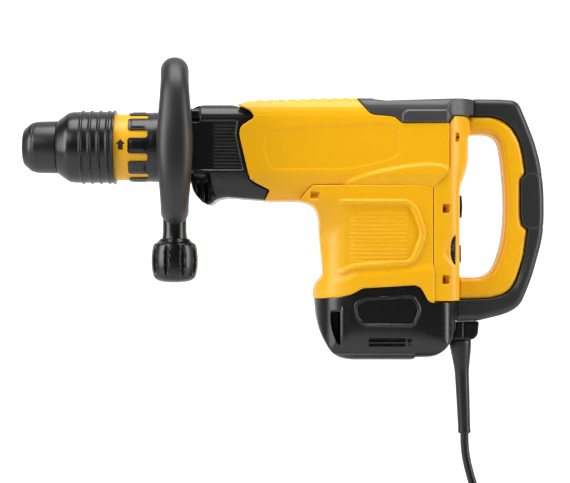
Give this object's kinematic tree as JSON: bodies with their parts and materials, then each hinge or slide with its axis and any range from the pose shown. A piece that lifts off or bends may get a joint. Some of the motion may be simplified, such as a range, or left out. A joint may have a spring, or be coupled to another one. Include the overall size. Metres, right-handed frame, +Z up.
{
  "type": "demolition hammer",
  "caption": "Corded SDS-max chipping hammer: yellow shells, black nose with locking sleeve, swivelling bow side handle, rear D-handle, vertical motor and hanging mains lead.",
  "frame": {"origin": "on the tool axis at the centre of the tool holder's mouth, in the plane of the nose cap's front rim", "axes": "+X runs along the tool axis from the nose to the rear D-handle, +Z is up, away from the motor, and -Y is the operator's left, the side that shows the side handle's bow"},
  "size_m": [0.5489, 0.1671, 0.6531],
  "materials": {
    "yellow_shell": "moulded glass-filled nylon, fine spark texture, semi-matt",
    "black_shell": "moulded glass-filled nylon, fine texture",
    "black_rubber": "soft-touch thermoplastic rubber, matt",
    "grip_rubber": "vulcanised rubber sleeve, matt grey-black",
    "cable_rubber": "neoprene cable sheath",
    "steel": "ground and hardened steel",
    "dark_steel": "blackened, hardened steel",
    "aluminium": "die-cast aluminium",
    "copper": "turned copper segments",
    "carbon": "pressed carbon",
    "inner_plastic": "moulded polyamide"
  },
  "bodies": {
    "housing": {"front_housing": "black_shell", "upper_shell_left": "yellow_shell", "upper_shell_right": "yellow_shell", "motor_housing": "yellow_shell", "motor_end_cap": "black_shell", "rear_housing_left": "yellow_shell", "rear_housing_right": "yellow_shell", "top_cover": "black_shell", "handle_overmould": "black_rubber", "crankcase": "aluminium", "crankcase_cover": "aluminium", "cylinder": "steel", "crank_bearing": "steel", "stator": "dark_steel", "air_baffle": "inner_plastic", "upper_bearing": "steel", "lower_bearing": "steel", "brush_holder_left": "inner_plastic", "brush_holder_right": "inner_plastic", "carbon_brush_left": "carbon", "carbon_brush_right": "carbon", "switch_body": "inner_plastic", "control_module": "inner_plastic", "cord_gland": "black_shell", "cord_boot": "black_rubber", "cord_lead": "cable_rubber", "cord_coil": "cable_rubber", "coil_tie": "black_rubber", "mains_plug": "cable_rubber"},
    "tool_holder": {"tool_holder": "steel", "nose_cap": "black_rubber", "index_ring": "yellow_shell", "sleeve_spring": "steel"},
    "locking_sleeve": {"locking_sleeve": "black_shell"},
    "index_grip": {"index_grip": "black_shell"},
    "lock_roller_top": {"lock_roller_top": "dark_steel"},
    "lock_roller_bottom": {"lock_roller_bottom": "dark_steel"},
    "impact_bolt": {"impact_bolt": "dark_steel"},
    "striker": {"striker": "dark_steel", "striker_ring": "black_rubber"},
    "piston": {"piston": "aluminium", "piston_ring": "black_rubber", "piston_pin": "steel"},
    "connecting_rod": {"connecting_rod": "steel", "crank_pin": "steel"},
    "crank_gear": {"crank_gear": "dark_steel"},
    "layshaft": {"layshaft": "dark_steel"},
    "armature": {"armature_shaft": "steel", "armature_core": "dark_steel", "commutator": "copper", "fan": "inner_plastic"},
    "side_handle": {"clamp_band": "black_shell", "bow_frame": "black_shell", "bow_grip": "grip_rubber", "clamp_bolt": "steel"},
    "clamp_washer": {"clamp_washer": "steel"},
    "clamp_knob": {"clamp_knob": "black_shell"},
    "speed_dial": {"speed_dial": "black_shell"},
    "rocker_switch": {"rocker_switch": "black_shell"}
  },
  "joints": [
    {"name": "tool_index", "type": "hinge", "parent": "housing", "child": "tool_holder", "pos_m": [0.1, 0, 0], "axis": [1, 0, 0], "continuous": true},
    {"name": "sleeve_slide", "type": "slide", "parent": "tool_holder", "child": "locking_sleeve", "axis": [1, 0, 0], "range_m": [0, 0.007], "stiffness_N_per_m": 1500, "springref_m": -0.006, "deforming": ["sleeve_spring"]},
    {"name": "index_slide", "type": "slide", "parent": "tool_holder", "child": "index_grip", "axis": [-1, 0, 0], "range_m": [0, 0.004], "stiffness_N_per_m": 1500, "springref_m": -0.006},
    {"name": "roller_top_lift", "type": "slide", "parent": "tool_holder", "child": "lock_roller_top", "axis": [0, 0, 1], "range_m": [0, 0.0025]},
    {"name": "roller_bottom_lift", "type": "slide", "parent": "tool_holder", "child": "lock_roller_bottom", "axis": [0, 0, -1], "range_m": [0, 0.0025]},
    {"name": "bolt_slide", "type": "slide", "parent": "housing", "child": "impact_bolt", "axis": [1, 0, 0], "range_m": [0, 0.006]},
    {"name": "striker_slide", "type": "slide", "parent": "housing", "child": "striker", "axis": [1, 0, 0], "range_m": [-0.008, 0]},
    {"name": "piston_stroke", "type": "slide", "parent": "housing", "child": "piston", "axis": [1, 0, 0], "range_m": [0, 0.034]},
    {"name": "rod_swing", "type": "hinge", "parent": "piston", "child": "connecting_rod", "pos_m": [0.2275, 0, 0], "axis": [0, 0, 1], "range_deg": [-15, 15]},
    {"name": "armature_spin", "type": "hinge", "parent": "housing", "child": "armature", "pos_m": [0.38075, 0, -0.11], "axis": [0, 0, 1], "continuous": true},
    {"name": "layshaft_spin", "type": "hinge", "parent": "housing", "child": "layshaft", "pos_m": [0.3545, 0, -0.03], "axis": [0, 0, 1], "continuous": true},
    {"name": "crank_spin", "type": "hinge", "parent": "housing", "child": "crank_gear", "pos_m": [0.3105, 0, -0.02], "axis": [0, 0, 1], "continuous": true},
    {"name": "side_handle_swing", "type": "hinge", "parent": "housing", "child": "side_handle", "pos_m": [0.1643, 0, 0], "axis": [1, 0, 0], "continuous": true},
    {"name": "clamp_travel", "type": "slide", "parent": "side_handle", "child": "clamp_washer", "axis": [0, 0, 1], "range_m": [-0.006, 0]},
    {"name": "knob_turn", "type": "hinge", "parent": "clamp_washer", "child": "clamp_knob", "pos_m": [0.1643, -0.046, -0.12], "axis": [0, 0, 1], "range_deg": [-1080, 0]},
    {"name": "dial_turn", "type": "hinge", "parent": "housing", "child": "speed_dial", "pos_m": [0.4506, -0.019, -0.1085], "axis": [1, 0, 0], "range_deg": [-135, 135]},
    {"name": "switch_rock", "type": "hinge", "parent": "housing", "child": "rocker_switch", "pos_m": [0.455, 0, -0.062], "axis": [0, 1, 0], "range_deg": [0, 9]}
  ],
  "couplings": [
    {"joint": "roller_top_lift", "follows": "sleeve_slide", "ratio": 0.35},
    {"joint": "roller_bottom_lift", "follows": "sleeve_slide", "ratio": 0.35},
    {"joint": "layshaft_spin", "follows": "armature_spin", "ratio": -0.25},
    {"joint": "crank_spin", "follows": "armature_spin", "ratio": 0.083333},
    {"joint": "clamp_travel", "follows": "knob_turn", "m_per_rad": 0.00031}
  ]
}
